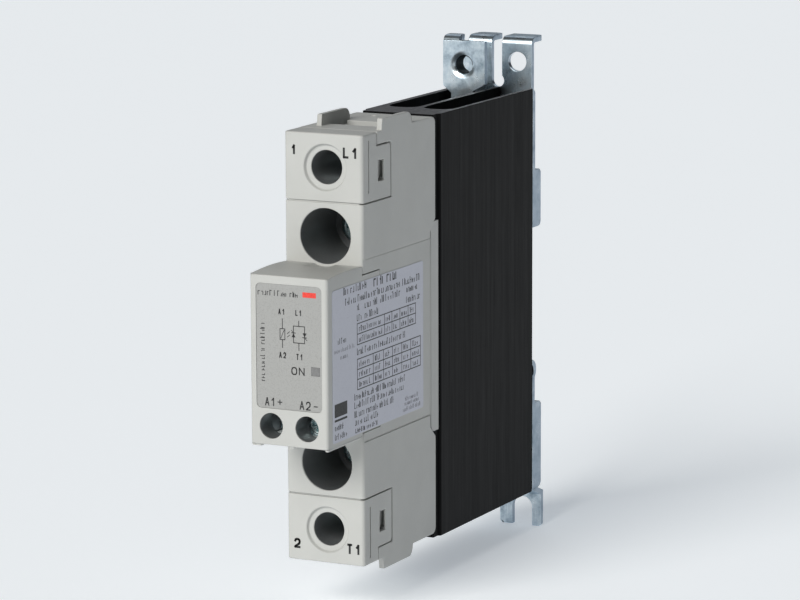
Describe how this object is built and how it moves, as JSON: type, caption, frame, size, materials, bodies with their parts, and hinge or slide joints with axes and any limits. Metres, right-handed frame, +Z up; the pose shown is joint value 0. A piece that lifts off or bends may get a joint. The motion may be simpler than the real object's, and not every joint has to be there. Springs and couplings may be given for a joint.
{
  "type": "solid state relay",
  "caption": "Slim rail-mounted solid state relay: grey terminal housing and control module on a black finned heatsink with a spring-latched zinc clip.",
  "frame": {"origin": "centre of the module's width, on the plane the rail's front face bears on, at half the rail's height", "axes": "+X to the right seen from the front, +Y back towards the rail and panel, +Z up along the heatsink's fins"},
  "size_m": [0.0178, 0.1047, 0.1118],
  "materials": {
    "housing_plastic": "moulded light grey, fine matt texture",
    "dark_plastic": "moulded black-grey",
    "front_label_film": "printed film, fine speckle",
    "side_label_film": "silver printed film",
    "light_pipe": "clear smoke light guide",
    "led": "clear resin",
    "circuit_board": "green solder mask",
    "component_black": "epoxy",
    "varistor_coat": "blue epoxy coat",
    "tinned_metal": "tin plate",
    "silicon": "passivated silicon",
    "ceramic": "alumina with copper faces",
    "nickel_plate": "nickel plated copper",
    "thermal_pad": "graphite film",
    "zinc_screw": "blue zinc plate",
    "black_anodised": "black anodised extrusion",
    "zinc_sheet": "blue zinc plated sheet",
    "spring_steel": "spring wire"
  },
  "bodies": {
    "relay": {"a1_terminal": "tinned_metal", "a2_terminal": "tinned_metal", "base_plate": "nickel_plate", "bracket_rivet": "zinc_sheet", "ceramic_substrate": "ceramic", "control_cover": "housing_plastic", "control_insert": "dark_plastic", "driver_board": "circuit_board", "front_board": "circuit_board", "front_label": "front_label_film", "gate_pins": "tinned_metal", "guide_pins": "zinc_sheet", "heatsink": "black_anodised", "housing_shell": "housing_plastic", "latch_spring": "spring_steel", "light_pipe": "light_pipe", "line_busbar": "tinned_metal", "load_busbar": "tinned_metal", "lower_power_insert": "dark_plastic", "module_screws": "zinc_screw", "optocoupler": "component_black", "rail_bracket": "zinc_sheet", "rear_frame": "housing_plastic", "side_label": "side_label_film", "status_led": "led", "thermal_pad": "thermal_pad", "thyristor_chips": "silicon", "upper_power_insert": "dark_plastic", "varistor": "varistor_coat"},
    "upper_cover": {"upper_terminal_cover": "housing_plastic"},
    "lower_cover": {"lower_terminal_cover": "housing_plastic"},
    "line_clamp": {"line_clamp_washer": "zinc_screw"},
    "line_screw_body": {"line_screw": "zinc_screw"},
    "load_clamp": {"load_clamp_washer": "zinc_screw"},
    "load_screw_body": {"load_screw": "zinc_screw"},
    "a1_clamp": {"a1_clamp_washer": "zinc_screw"},
    "a1_screw_body": {"a1_screw": "zinc_screw"},
    "a2_clamp": {"a2_clamp_washer": "zinc_screw"},
    "a2_screw_body": {"a2_screw": "zinc_screw"},
    "rail_latch_body": {"rail_latch": "zinc_sheet"}
  },
  "joints": [
    {"name": "upper_cover_pull", "type": "slide", "parent": "relay", "child": "upper_cover", "axis": [0, -1, 0], "range_m": [0, 0.014]},
    {"name": "lower_cover_pull", "type": "slide", "parent": "relay", "child": "lower_cover", "axis": [0, -1, 0], "range_m": [0, 0.014]},
    {"name": "line_clamp_travel", "type": "slide", "parent": "relay", "child": "line_clamp", "axis": [0, -1, 0], "range_m": [0, 0.00385]},
    {"name": "line_screw_turn", "type": "hinge", "parent": "line_clamp", "child": "line_screw_body", "pos_m": [0.0004, -0.068, 0.0413], "axis": [0, -1, 0], "range_deg": [0, 1980]},
    {"name": "load_clamp_travel", "type": "slide", "parent": "relay", "child": "load_clamp", "axis": [0, -1, 0], "range_m": [0, 0.00385]},
    {"name": "load_screw_turn", "type": "hinge", "parent": "load_clamp", "child": "load_screw_body", "pos_m": [0.0004, -0.068, -0.0337], "axis": [0, -1, 0], "range_deg": [0, 1980]},
    {"name": "a1_clamp_travel", "type": "slide", "parent": "relay", "child": "a1_clamp", "axis": [0, -1, 0], "range_m": [0, 0.00275]},
    {"name": "a1_screw_turn", "type": "hinge", "parent": "a1_clamp", "child": "a1_screw_body", "pos_m": [-0.00405, -0.092, -0.00935], "axis": [0, -1, 0], "range_deg": [0, 1980]},
    {"name": "a2_clamp_travel", "type": "slide", "parent": "relay", "child": "a2_clamp", "axis": [0, -1, 0], "range_m": [-0.0024, 0.00035]},
    {"name": "a2_screw_turn", "type": "hinge", "parent": "a2_clamp", "child": "a2_screw_body", "pos_m": [0.00405, -0.0945, -0.00935], "axis": [0, -1, 0], "range_deg": [-1728, 252]},
    {"name": "rail_latch_slide", "type": "slide", "parent": "relay", "child": "rail_latch_body", "axis": [0, 0, -1], "range_m": [0, 0.004], "stiffness_N_per_m": 1500, "springref_m": -0.003, "deforming": ["latch_spring"]}
  ],
  "couplings": [
    {"joint": "line_screw_turn", "follows": "line_clamp_travel", "rad_per_m": 8976},
    {"joint": "load_screw_turn", "follows": "load_clamp_travel", "rad_per_m": 8976},
    {"joint": "a1_screw_turn", "follows": "a1_clamp_travel", "rad_per_m": 12566},
    {"joint": "a2_screw_turn", "follows": "a2_clamp_travel", "rad_per_m": 12566}
  ]
}
